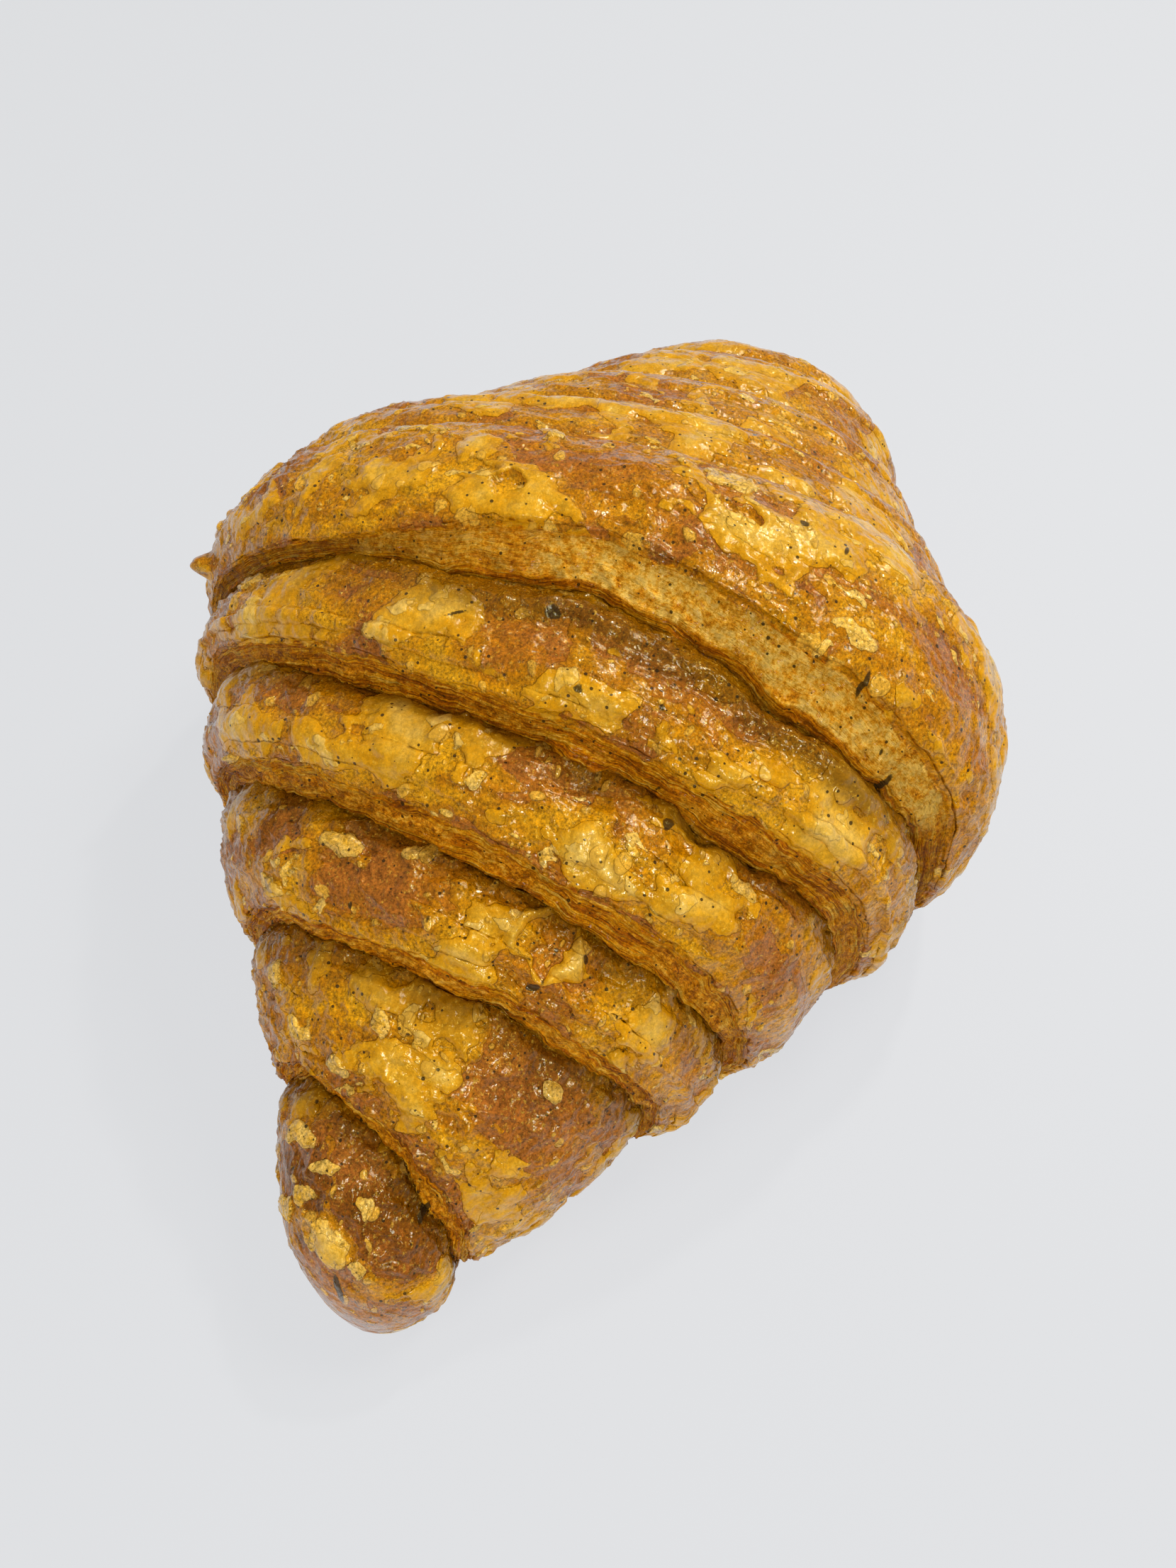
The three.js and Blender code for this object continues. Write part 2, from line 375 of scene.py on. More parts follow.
def edge_rows(rows, edge):
    """The sinking layer below, the crease, the cut face of the layers, and its rounded corner."""
    inward = -edge.facing
    foot = edge.path - inward * edge.reach
    parts = []

    t = np.linspace(0, 1, int(edge.dip.max() * EDGE_DENSITY / SPACING) + 2, endpoint=False)[:, None]
    # Painted shade in the crease, darkest at the foot and weaker past the middle. Beside the front
    # edge's fold it also darkens the fold's own skin.
    darkest = 1.0 if edge.facing < 0 else FAR_CREASE_SHADE
    away = edge.dip * (1 - t)
    pucker = 1.1 * bell(away, FOLD_CREST, 1.7) - 0.9 * bell(away, FOLD_HOLLOW, 1.0)
    crease = darkest * (NEAR_CREASE_SHADE + (1 - NEAR_CREASE_SHADE) * t ** 1.6)
    parts.append(dict(x=foot - inward * away, depth=edge.step * t ** 2.2 + edge.fold * pucker,
                      crease=crease + 0.3 * edge.fold * bell(away, 2.4, 1.8), edge=edge.index + 0 * t))

    v = 0.5 - 0.5 * np.cos(np.linspace(0, math.pi, RISER_ROWS))[:, None]
    out = np.interp(v, edge.shape[:, 0], edge.shape[:, 1])
    down = np.interp(v, edge.shape[:, 0], edge.shape[:, 2])
    # The cut face gets painted shade towards its foot, in the crease.
    parts.append(dict(x=edge.path - inward * edge.reach * out, depth=edge.step * down,
                      riser=1 + 0 * v, across=v, layer=edge.layers * v, brink=v ** 4,
                      crease=(1 - v) ** 5, edge=edge.index + 0 * v))

    s = np.linspace(0, 1, int(edge.shoulder * EDGE_DENSITY / SPACING) + 3)[1:, None]
    parts.append(dict(x=edge.path + inward * edge.shoulder * s,
                      depth=edge.step * down[-1] * (1 - s) ** 2,
                      across=1 + 0 * s, brink=(1 - s) ** 1.5, edge=edge.index + 0 * s))
    if edge.facing > 0:
        parts = [{name: values[::-1] for name, values in part.items()} for part in parts[::-1]]
    for part in parts:
        rows.add(**part)


def skin_rows(rows, edge, following):
    """The open skin of a layer between two free edges, with painted shade beside the creases."""
    start = edge.path + edge.width_towards(1)
    end = following.path - following.width_towards(-1)
    gap = np.mean(end - start)
    count = max(int(gap * SKIN_DENSITY / SPACING), 4)
    f = ((np.arange(count) + 0.5) / count)[:, None]
    crease = np.zeros_like(f)
    if following.facing < 0:
        crease = crease + NEAR_CREASE_SHADE * smoothstep(1 - CREASE_SHADE / gap, 1, f)
    if edge.facing > 0:
        crease = crease + FAR_CREASE_SHADE * NEAR_CREASE_SHADE * smoothstep(CREASE_SHADE / gap, 0, f)
    rows.add(start + (end - start) * f, depth=-BULGE * 4 * f * (1 - f), crease=crease)


def cap_rows(rows, start, tip):
    """The rounded end of the roll, with rows closing up towards the tip."""
    f = np.sin(np.linspace(0, 0.5 * math.pi, CAP_ROWS + 1)[1:-1])[:, None]
    block = start + (tip - start) * f
    # Painted shade beside the crease where the cap starts.
    crease = NEAR_CREASE_SHADE * smoothstep(0.6, 0, f)
    turn = 1 if tip > 0 else -1
    rows.add(block[::turn], crease=crease[::turn])


def build_rows():
    rows = Rows()
    first, last = edges[0], edges[-1]
    cap_rows(rows, first.path - first.reach - first.dip, -HALF_LENGTH + TIP_GAP)
    for edge, following in zip(edges, edges[1:]):
        edge_rows(rows, edge)
        skin_rows(rows, edge, following)
    edge_rows(rows, last)
    cap_rows(rows, last.path + last.reach + last.dip, HALF_LENGTH - TIP_GAP)
    return rows.stack()


rows = build_rows()
ROWS = len(rows["x"])
angle_grid = np.broadcast_to(angles, (ROWS, COLUMNS))
degrees = np.degrees(angle_grid)


def cross_normals(points):
    """Unit normals of a grid of points that closes on itself round the roll."""
    along = np.gradient(points, axis=0)
    around = (np.roll(points, -1, axis=1) - np.roll(points, 1, axis=1)) / 2
    normal = np.cross(along, around)
    return normal / np.maximum(np.linalg.norm(normal, axis=-1, keepdims=True), 1e-9)


NUDGE = 0.01         # steps for the envelope's finite differences, in mm and radians
TURN = 0.002


def envelope_normals(x):
    """The envelope's outward directions at x, for every column."""
    inner = np.where(x > 0, -NUDGE, NUDGE)
    here, _ = envelope(x, angle_grid)
    beside, _ = envelope(x + inner, angle_grid)
    turned, _ = envelope(x, angle_grid + TURN)
    back, _ = envelope(x, angle_grid - TURN)
    normal = np.cross((beside - here) * np.sign(inner)[..., None], turned - back)
    return normal / np.maximum(np.linalg.norm(normal, axis=-1, keepdims=True), 1e-9)


x_limit = HALF_LENGTH - TIP_GAP
path_x = np.clip(rows["x"], -x_limit, x_limit)
surface, section_height = envelope(path_x, angle_grid)
smooth_normals = envelope_normals(path_x)
# The steps and marks fade out towards the flat base.
upright = smoothstep(0.0, 0.16, surface[..., 2] / section_height)
edge_strength = 0.22 + 0.78 * upright
base = surface - smooth_normals * (rows["depth"] * edge_strength)[..., None]
base[..., 2] = np.maximum(base[..., 2], 0)
normals = cross_normals(base)

# ---- Marks on the skin: each is a field over the whole surface ----

# How big the marks are, in mm: one size, or a size along the roll and two across it.
WARP_SIZE = 9
SMALL_WARP_SIZE = 2.6
RAGGED_SIZE = 1.6
PATCH_SIZE = (8, 11, 11)
FINE_PATCH_SIZE = (3.4, 4.2, 4.2)
FILM_SIZE = (6.5, 11, 11)
PALE_SIZE = (2.6, 4.2, 4.2)
WRINKLE_SIZE = (2.4, 7.5, 7.5)
SMALL_WRINKLE_SIZE = (1.5, 3.4, 3.4)
CRUMB_SIZE = 1.1
BUBBLE_RIM = 0.5

x_place = surface[..., 0]
warp = np.stack([layered_noise(surface, WARP_SIZE, 2, salt) for salt in (3, 5, 7)], -1)
small_warp = np.stack([layered_noise(surface, SMALL_WARP_SIZE, 2, salt) for salt in (4, 6, 8)], -1)
crooked = surface + 0.7 * small_warp
ragged = layered_noise(surface, RAGGED_SIZE, 2, 12)


def spot(x, angle, half_x, half_round, tilt=0, where=crooked):
    """1 at a spot's middle, 0 on its rim, and negative outside, on the envelope."""
    centre, _ = envelope(np.array([float(x)]), np.array([math.radians(angle)]))
    near, _ = envelope(np.array([float(x)]), np.array([math.radians(angle) + 0.01]))
    round_way = (near - centre)[0]
    round_way /= np.linalg.norm(round_way)
    away = where - centre[0]
    u = away[..., 0]
    w = away @ round_way
    in_plane = u[..., None] * np.array([1.0, 0, 0]) + w[..., None] * round_way
    lift = np.linalg.norm(away - in_plane, axis=-1)
    c, s = math.cos(math.radians(tilt)), math.sin(math.radians(tilt))
    a, b = (u * c + w * s) / half_x, (w * c - u * s) / half_round
    return 1 - np.sqrt(a * a + b * b + (lift / max(half_x, half_round)) ** 2 * 0.5)


def spots(places, **settings):
    """The nearest spot's value, over a list of places."""
    best = np.full(surface.shape[:-1], -9.0)
    for place in places:
        best = np.maximum(best, spot(*place, **settings))
    return best


# Each place is x, angle, half length along the roll, half width round it, tilt. Angles are in degrees.
# In BLISTERED a strength follows: blisters gather there, or the glaze is bare if it is negative.
BLISTERED = [
    (8, 55, 6, 8, 0, 1), (4, 71, 3, 7, 0, 0.8), (7, 31, 5, 7, 0, 0.7), (-2, 121, 3, 7, 0, 0.7),
    (0, 104, 5, 7, 20, 0.8), (4, 88, 4, 6, 0, -1.2), (6, 95, 4, 9, 0, -0.8),
    (-17, 102, 4, 6, 30, 1.1), (-17, 129, 4, 6, 20, 0.8), (-20, 77, 2.5, 8, 0, 0.9),
    (-14, 88, 4, 7, 0, -1.2), (-14, 65, 3, 10, 0, -1), (-20, 49, 3.5, 10, 0, 1.1),
    (-17, 33, 3, 8, 0, 0.7), (-28, 106, 4.5, 12, 0, 1.1), (-31, 79, 3.5, 7, 0, 0.9),
    (-28, 80, 4, 6, 0, -1), (-30, 55, 4.5, 9, 0, 1), (-29, 64, 3, 4, 0, -0.9),
    (-29, 35, 4, 7, 0, -1.2), (-28, 21, 2, 8, 0, 0.8), (-29, 136, 3, 5, 0, 0.8),
    (-43, 124, 2.5, 4.5, 0, 1), (-44, 86, 2, 5.5, 0, 1), (-40, 81, 1.8, 4, 0, 0.9),
    (-44, 38, 3.5, 7, 0, 1.1), (-41, 105, 4, 6, 0, -1.1), (-42, 58, 4, 6, 0, -0.8),
    (-50, 115, 3.5, 4, 0, 0.8), (-51, 83, 5, 7, 30, 0.9), (-52, 42, 5, 11, 0, -1.5),
    (-58, 46, 2.5, 5, 0, 0.9), (-70, 99, 2.4, 3, 0, 1.4), (-65, 112, 2, 5, 40, 0.6),
    (-66, 60, 6, 6, 0, -1.4), (-67, 160, 2, 4, 0, 0.7), (-64, 95, 7, 9, 0, -0.7),
    (-65, 130, 6, 6, 0, -0.5), (-50, 60, 4, 5, 0, -0.8), (-42, 140, 4, 6, 0, -0.4),
    (-24, 120, 3, 9, 0, -0.6), (-36, 100, 3, 9, 0, -0.4), (-40, 97, 4, 8, 0, -0.9),
    (3, 122, 4, 8, 0, 0.4), (-1, 75, 2, 10, 0, -0.7),
]
# Holes in the top film, dry pale blisters, charred dots, and hollows in the skin.
TORN = [(0, 86, 1.5, 3.4, 0), (4.6, 73, 0.8, 2.4, 0), (-1, 97, 1.6, 1.8, 20)]
FLAKES = [
    (9.2, 76, 1.8, 3.2, 0), (-2.6, 54, 0.9, 2.8, 0), (-29.6, 90, 0.8, 1.3, 0), (8, 96, 0.6, 1.0, 0),
    (-70, 101, 1.9, 2.5, 0), (-67, 117, 0.9, 1.8, 20), (-64, 108, 0.7, 1.7, 0),
    (-66, 84, 1.1, 0.8, 0), (-71, 78, 0.7, 1.3, 0), (-62, 128, 1.0, 2.0, 0),
    (-68, 140, 1.3, 2.2, 0), (-62, 76, 0.8, 1.0, 30), (-53, 128, 1.0, 2.2, 0),
    (-49, 140, 1.5, 1.4, 0), (-55, 110, 0.8, 1.4, 0), (-51, 98, 1.2, 0.8, 30),
    (-38, 112, 1.2, 2.2, 0), (-37, 96, 0.9, 2.4, 20), (-42, 133, 1.0, 1.6, 0),
    (-31, 148, 1.2, 1.6, 0), (-50, 46, 0.7, 1.1, 0), (-38, 38, 1.2, 1.4, 0),
    (-28, 44, 0.8, 1.6, 0), (-13, 140, 1.2, 2.0, 0),
]
CHARRED = [(-6.2, 49, 1.5, 0.35, 20), (-12.1, 32.4, 1.6, 0.5, 10), (-43.7, 67.8, 0.35, 0.8, 25),
           (-73.2, 96, 1.9, 0.5, 20), (-64.6, 53.7, 1.2, 0.6, 0), (-26.9, 61.8, 0.5, 0.7, 0),
           (-12.6, 87.9, 0.6, 1.0, 0), (6.4, 65.7, 0.5, 0.6, 0), (-19.1, 81.3, 0.4, 0.7, 0),
           (-39.9, 60.9, 0.4, 0.5, 0), (-18.1, 71.1, 0.4, 0.4, 0), (-16, 98, 0.25, 1.6, 40)]
RING = (-40, 69, 2.6, 3.4, 0)       # a ring-shaped blister
SPIKE = (-6, 163, 1.9, 2.0, 0)      # a stray point of dough on the +Y side
FLAP = (-24.6, 79, 2.0, 3.4, 0)     # a lifted bit of a cut face
# In HOLLOWS the depth in mm follows.
HOLLOWS = [(-27, 75, 2.2, 5, 0, 1.0), (-26, 56, 1.6, 4, 0, 0.7), (-40.5, 52, 2.0, 5, 0, 0.6)]

riser = rows["riser"] * upright
across = rows["across"]
skin = 1 - riser
cut = riser * smoothstep(1.0, 0.72, across + 0.1 * ragged)
central_edge = np.abs(rows["edge"] - CENTRAL) < 0.1
strip_span = smoothstep(121, 113, degrees) * smoothstep(8, 20, degrees)
strip_face = smoothstep(0.19, 0.25, across) * smoothstep(0.91, 0.87, across)
strip_fade = 0.55 + 0.45 * smoothstep(100, 80, degrees + 12 * warp[..., 1])
raw = riser * central_edge * strip_face * strip_span * strip_fade

gathered = np.zeros_like(riser)
for *place, strength in BLISTERED:
    gathered += strength * smoothstep(-0.35, 0.45, spot(*place, where=surface))
torn = spots(TORN) + 0.16 * ragged
hole = smoothstep(0.0, 0.12, torn)
flake = spots(FLAKES) + 0.14 * ragged
on_flake = smoothstep(0.0, 0.12, flake)
charred = spots(CHARRED, where=surface + 0.15 * small_warp)
hollow = np.zeros_like(riser)
for *place, depth in HOLLOWS:
    hollow += depth * smoothstep(0.0, 0.7, spot(*place, where=surface + 0.4 * warp))
ring_blister = np.exp(-((spot(*RING) / 0.16) ** 2))

# The blisters get smaller towards the narrow tip.
shrunk = surface * (1 + 0.5 * smoothstep(-15, -60, surface[..., :1]))
patch_noise = layered_noise(shrunk + 2.6 * warp, PATCH_SIZE, 3, 9, 0.5)
fine_patch = layered_noise(shrunk + 0.8 * warp + 0.4 * small_warp, FINE_PATCH_SIZE, 3, 15, 0.6)
tip_end = smoothstep(-68.5, -72.5, x_place)
more_patches = 0.1 * smoothstep(-35, -50, x_place) + 0.12 * smoothstep(6, 18, x_place)
patch = (0.8 * patch_noise + 0.32 * fine_patch + 0.5 * gathered - 0.2 + more_patches
         - 1.6 * hole + 0.8 * ring_blister - 0.3 * rows["brink"] - 0.5 * tip_end)
film_noise = layered_noise(shrunk + 2.0 * warp[..., ::-1], FILM_SIZE, 4, 21, 0.55)
film = 0.8 * film_noise + 0.3 * gathered + 0.16 + 0.6 * hole - 0.35 * tip_end
pale_noise = layered_noise(surface + 1.4 * warp + 0.5 * small_warp, PALE_SIZE, 3, 27, 0.6)
pale = pale_noise + 0.25 * gathered - 0.78 + 0.16 * smoothstep(-54, -64, x_place)
pale = np.where(flake > -0.4, np.maximum(pale, 1.3 * flake), pale)

bubbly = gradient_noise(surface, 13, 33) - np.where(x_place < -40, 0.3 * (x_place + 52) / 20, 0)


def bubbles(size, share, smallest, widest, salt):
    """Scattered round blisters: about 1 in the middle of one, 0 on its rim and negative outside."""
    distance, luck, pick = cell_noise(surface + 0.5 * small_warp, size, salt)
    radius = smallest + (widest - smallest) * luck ** 2
    return np.where(pick + 0.35 * bubbly > 1 - share, (radius - distance) / BUBBLE_RIM, -1)


bubble = np.maximum(bubbles(2.6, 0.42, 0.35, 1.2, 2), bubbles(1.6, 0.3, 0.2, 0.55, 9))

patch_rise = smoothstep(-0.1, 0.16, patch)
loose = gradient_noise(surface, 15, 70) + 0.7 * rows["crease"] - 0.25 * gathered + hollow
wrinkle = ridges(base + 1.1 * warp, WRINKLE_SIZE, 60)
wrinkle = wrinkle + 0.7 * ridges(base + 0.8 * small_warp, SMALL_WRINKLE_SIZE, 65)
wrinkle = wrinkle * smoothstep(-0.3, 0.3, loose) * (1 - 0.7 * patch_rise)

# The thin layers in a cut face: which one a point is in, and how far it bulges.
layer = (rows["layer"] + 1.5 * gradient_noise(base, (9, 13, 13), 80)
         + 0.7 * gradient_noise(base, (2.6, 5, 5), 85)
         + 0.28 * gradient_noise(base, (0.9, 1.8, 1.8), 86))
strand = np.floor(layer)
within = np.abs(layer - strand - 0.5) * 2
thickness = gradient_noise(base + strand[..., None] * 17.3, (3, 6, 6), 88)
lamination = (1 - within ** 3) * (0.6 + 0.8 * thickness)
crumbs = layered_noise(base, CRUMB_SIZE, 3, 50, 0.7)
doughy_place = smoothstep(0.0, 0.35, gradient_noise(base, (8, 9, 9), 90) + 0.25)
doughy_face = smoothstep(0.22, 0.4, across) * smoothstep(0.75, 0.6, across)
doughy_share = np.where(rows["edge"] == DOUGHY, 1.0, 0.75) * (1 - central_edge)
doughy = riser * doughy_place * doughy_face * doughy_share

# How far each mark stands out of the surface, in mm.
blistering = (0.32 * patch_rise + 0.14 * smoothstep(0.0, 0.5, patch)
              + 0.16 * smoothstep(-0.12, 0.14, film) + 0.14 * smoothstep(-0.03, 0.12, pale)
              + 0.22 * np.clip(bubble * 1.2, 0, 1) ** 0.7)
unevenness = (0.5 * layered_noise(surface, 14, 2, 90) + 0.13 * layered_noise(base, 2.8, 2, 52)
              + 0.05 * crumbs)
calm = 1 - 0.45 * smoothstep(5, 25, x_place)
torn_film = 0.2 * bell(torn, -0.06, 0.07) - 0.45 * hole
push = skin * (calm * (blistering + unevenness + 0.36 * wrinkle)
               - hollow + 0.3 * on_flake + torn_film + 0.3 * ring_blister)
push += (riser - raw) * (0.42 * (lamination - 0.4) + 0.12 * crumbs)
push += raw * (0.26 * crumbs + 0.12 * ragged)
push += 2.2 * smoothstep(0.0, 0.9, spot(*SPIKE, where=surface))
push += riser * 1.3 * smoothstep(0.0, 0.5, spot(*FLAP)) * smoothstep(0.4, 0.1, across)
narrowing = smoothstep(0, 0.25, width_share(path_x))
push *= narrowing * (0.3 + 0.7 * upright)
points = base + normals * push[..., None]
points[..., 2] = np.maximum(points[..., 2], 0)

# How dark the crust is baked: 0 is golden and 1 is brown.
bake = (0.5 + 0.36 * layered_noise(surface, 20, 2, 100) + 0.18 * layered_noise(surface, 6, 2, 105)
        + 0.2 * smoothstep(-56, -68, x_place) - 0.06 * smoothstep(5, 20, x_place)
        + (0.12 + 0.3 * central_edge) * rows["brink"] - 0.25 * (1 - upright)
        - 0.1 * np.minimum(gathered, 0))
# Painted shade in the creases and in the hollows, fading towards the base.
crease = (rows["crease"] + 0.15 * hollow) * (0.4 + 0.6 * upright)

# ---- The mesh ----

UV_MARGIN = 0.005    # the part of the flat map left for each tip's fan


def tip_point(x, from_row):
    """The point that closes a tip, level with the middle of the ring beside it."""
    centre = points[from_row].mean(0)
    return np.array([x, centre[1], centre[2]])


def envelope_middle():
    """The middle of the envelope's width, in y."""
    x = np.linspace(-x_limit, x_limit, 400)
    sides = [envelope(x, np.full_like(x, side))[0][:, 1] for side in (0.0, math.pi)]
    return (np.min(sides) + np.max(sides)) / 2


def croissant_vertices():
    tips = [tip_point(-HALF_LENGTH, 0), tip_point(HALF_LENGTH, ROWS - 1)]
    vertices = np.concatenate([points.reshape(-1, 3), tips])
    vertices[:, 1] -= envelope_middle()
    return vertices


columns = np.arange(COLUMNS)
grid_row, grid_column = np.meshgrid(np.arange(ROWS - 1), columns, indexing="ij")


def croissant_faces():
    """The vertices round each face, and each face's corner count: quads, then a fan over each tip."""
    narrow_tip, blunt_tip = ROWS * COLUMNS, ROWS * COLUMNS + 1
    here, above = grid_row * COLUMNS, (grid_row + 1) * COLUMNS
    following = (grid_column + 1) % COLUMNS
    quads = np.stack([here + grid_column, above + grid_column, above + following, here + following], -1)
    after = (columns + 1) % COLUMNS
    last = (ROWS - 1) * COLUMNS
    narrow_fan = np.stack([np.full(COLUMNS, narrow_tip), columns, after], -1)
    blunt_fan = np.stack([np.full(COLUMNS, blunt_tip), last + after, last + columns], -1)
    corners = np.concatenate([quads.ravel(), narrow_fan.ravel(), blunt_fan.ravel()])
    sizes = np.repeat([4, 3], [grid_row.size, 2 * COLUMNS])
    return corners, sizes


def flat_map():
    """A place on the flat map for each face corner: how far round the roll, and how far along it."""
    around = np.concatenate([
        np.stack([grid_column, grid_column, grid_column + 1, grid_column + 1], -1).ravel(),
        np.stack([columns + 0.5, columns, columns + 1], -1).ravel(),
        np.stack([columns + 0.5, columns + 1, columns], -1).ravel(),
    ]) / COLUMNS
    lengths = np.linalg.norm(np.diff(points, axis=0), axis=-1).mean(1)
    travelled = np.concatenate([[0], np.cumsum(lengths)])
    rows_along = UV_MARGIN + (1 - 2 * UV_MARGIN) * travelled / travelled[-1]
    here, above = rows_along[grid_row], rows_along[grid_row + 1]
    along = np.concatenate([
        np.stack([here, above, above, here], -1).ravel(),
        np.tile([0, rows_along[0], rows_along[0]], COLUMNS),
        np.tile([1, rows_along[-1], rows_along[-1]], COLUMNS),
    ])
    return np.stack([around, along], -1)


# What the material reads at each vertex.
FIELDS = dict(patch=patch, film=film, pale=pale, bubble=bubble, riser=riser, raw=raw, layer=layer,
              doughy=doughy, cut=cut, crease=crease, bake=bake, charred=charred)


def croissant_mesh():
    vertices = croissant_vertices()
    corners, sizes = croissant_faces()
    starts = np.cumsum(sizes) - sizes
    mesh = bpy.data.meshes.new("croissant_crust")
    mesh.vertices.add(len(vertices))
    mesh.vertices.foreach_set("co", (vertices * MM).astype(np.float32).ravel())
    mesh.loops.add(len(corners))
    mesh.loops.foreach_set("vertex_index", corners.astype(np.int32))
    mesh.polygons.add(len(sizes))
    mesh.polygons.foreach_set("loop_start", starts.astype(np.int32))
    mesh.polygons.foreach_set("use_smooth", np.ones(len(sizes), bool))
    mesh.update(calc_edges=True)
    mesh.validate()
    uv = mesh.uv_layers.new(name="OFBake")
    uv.data.foreach_set("uv", flat_map().astype(np.float32).ravel())
    for name, field in FIELDS.items():
        values = np.concatenate([field.ravel(), [field[0].mean(), field[-1].mean()]])
        attribute = mesh.attributes.new(name, "FLOAT", "POINT")
        attribute.data.foreach_set("value", values.astype(np.float32))
    return mesh


# ---- Materials ----

# Colours are 8-bit screen values. A list of them has (place, colour) stops along a tone.
GLAZE = [(0.0, (200, 138, 8)), (0.25, (184, 118, 4)), (0.45, (168, 100, 10)),
         (0.65, (157, 91, 28)), (0.85, (142, 80, 26)), (1.0, (116, 62, 4))]
AMBER_FILM = [(0.1, (156, 94, 0)), (0.35, (176, 112, 0)), (0.6, (196, 134, 0)), (0.9, (210, 152, 14))]
TAN_BLISTER = [(0.0, (194, 128, 0)), (0.28, (206, 143, 6)),
               (0.52, (214, 158, 34)), (0.9, (226, 184, 84))]
PALE_FLECK = [(0.35, (216, 164, 44)), (0.65, (234, 196, 104))]
CUT_LAYERS = [(0.1, (130, 62, 0)), (0.3, (180, 94, 0)), (0.5, (212, 126, 0)),
              (0.7, (232, 158, 14)), (0.95, (246, 194, 80))]
CRUMB = [(0.32, (156, 84, 0)), (0.4, (208, 124, 4)), (0.47, (230, 150, 22)),
         (0.55, (242, 176, 52)), (0.66, (248, 200, 96))]
BLISTER_RIM = (136, 76, 2)
BUBBLE_TOP = (216, 164, 56)
LAYER_GAP = (112, 58, 0)
# The colour of the painted shade in creases and hollows, also of the front fold's darker skin.
PAINTED_SHADE_AND_FOLD = (100, 60, 0)
# Pale flecks of crust, partly painted glints.
PALE_SPECK_AND_GLINT = (240, 196, 70)
CHAR = (40, 26, 14)
TABLE_TOP = (84, 84, 85)
TABLE_GLOW = (0.95, 0.97, 1.01, 1.0)
TABLE_GLOW_STRENGTH = 0.665

BUMP_DISTANCE = 0.6 * MM


def colour(red, green, blue):
    """Linear colour from 8-bit screen values."""
    def linear(value):
        value /= 255
        return value / 12.92 if value <= 0.04045 else ((value + 0.055) / 1.055) ** 2.4
    return (linear(red), linear(green), linear(blue), 1.0)


class Graph:
    """Small helpers that add and join shader nodes."""

    def __init__(self, name):
        self.material = bpy.data.materials.new(name)
        self.material.use_nodes = True
        self.tree = self.material.node_tree
        self.shader = self.tree.nodes["Principled BSDF"]

    def node(self, kind, inputs=None, **settings):
        made = self.tree.nodes.new(kind)
        for key, value in settings.items():
            setattr(made, key, value)
        for key, value in (inputs or {}).items():
            self.feed(made.inputs[key], value)
        return made

    def feed(self, socket, value):
        if isinstance(value, bpy.types.NodeSocket):
            self.tree.links.new(value, socket)
        else:
            socket.default_value = value

    def math(self, operation, *values):
        made = self.node("ShaderNodeMath", operation=operation)
        for socket, value in zip(made.inputs, values):
            self.feed(socket, value)
        return made.outputs[0]

    def plus(self, a, b):
        return self.math("ADD", a, b)

    def times(self, a, b):
        return self.math("MULTIPLY", a, b)

    def largest(self, first, *others):
        for other in others:
            first = self.math("MAXIMUM", first, other)
        return first

    def total(self, *terms):
        """The sum of (share, value) pairs."""
        result = 0.0
        for share, value in terms:
            result = self.math("MULTIPLY_ADD", value, share, result)
        return result

    def smooth(self, value, low, high, start=0.0, end=1.0):
        made = self.node("ShaderNodeMapRange", interpolation_type="SMOOTHSTEP")
        for key, item in zip(("Value", "From Min", "From Max", "To Min", "To Max"),
                             (value, low, high, start, end)):
            self.feed(made.inputs[key], item)
        return made.outputs[0]

    def ramp(self, value, stops):
        made = self.node("ShaderNodeValToRGB")
        self.feed(made.inputs[0], value)
        band = made.color_ramp
        while len(band.elements) < len(stops):
            band.elements.new(0.5)
        for element, (place, shade) in zip(band.elements, stops):
            element.position = place
            element.color = colour(*shade)
        return made.outputs[0]

    def mix(self, factor, a, b):
        made = self.node("ShaderNodeMix", data_type="RGBA")
        self.feed(made.inputs[0], factor)
        self.feed(made.inputs[6], a)
        self.feed(made.inputs[7], b)
        return made.outputs[2]

    def bump(self, height):
        made = self.node("ShaderNodeBump", {"Height": height, "Distance": BUMP_DISTANCE})
        made.inputs["Strength"].default_value = 1.0
        return made.outputs[0]

    def brightness(self, shade, value):
        return self.node("ShaderNodeHueSaturation", {"Color": shade, "Value": value}).outputs[0]

    def field(self, name):
        return self.node("ShaderNodeAttribute", attribute_name=name).outputs["Fac"]

    def position(self, stretch=None):
        place = self.node("ShaderNodeTexCoord").outputs["Object"]
        if stretch is None:
            return place
        made = self.node("ShaderNodeVectorMath", operation="MULTIPLY")
        self.feed(made.inputs[0], place)
        self.feed(made.inputs[1], stretch)
        return made.outputs[0]

    def noise(self, scale, detail=2.0, roughness=0.5, stretch=None):
        """Noise from 0 to 1 around 0.5; scale is in features per metre."""
        inputs = {"Scale": scale, "Detail": detail, "Roughness": roughness}
        made = self.node("ShaderNodeTexNoise", inputs)
        self.feed(made.inputs["Vector"], self.position(stretch))
        return made.outputs["Fac"]

    def specks(self, scale, radius, share, stretch=None):
        """1 inside a thin scatter of dots."""
        made = self.node("ShaderNodeTexVoronoi", {"Scale": scale, "Randomness": 1.0})
        self.feed(made.inputs["Vector"], self.position(stretch))
        luck = self.node("ShaderNodeSeparateColor")
        self.feed(luck.inputs[0], made.outputs["Color"])
        size = self.times(self.math("GREATER_THAN", luck.outputs[0], 1 - share), radius)
        size = self.times(size, self.math("MULTIPLY_ADD", luck.outputs[1], 0.7, 0.3))
        return self.smooth(self.math("SUBTRACT", size, made.outputs["Distance"]), -0.01, 0.03)


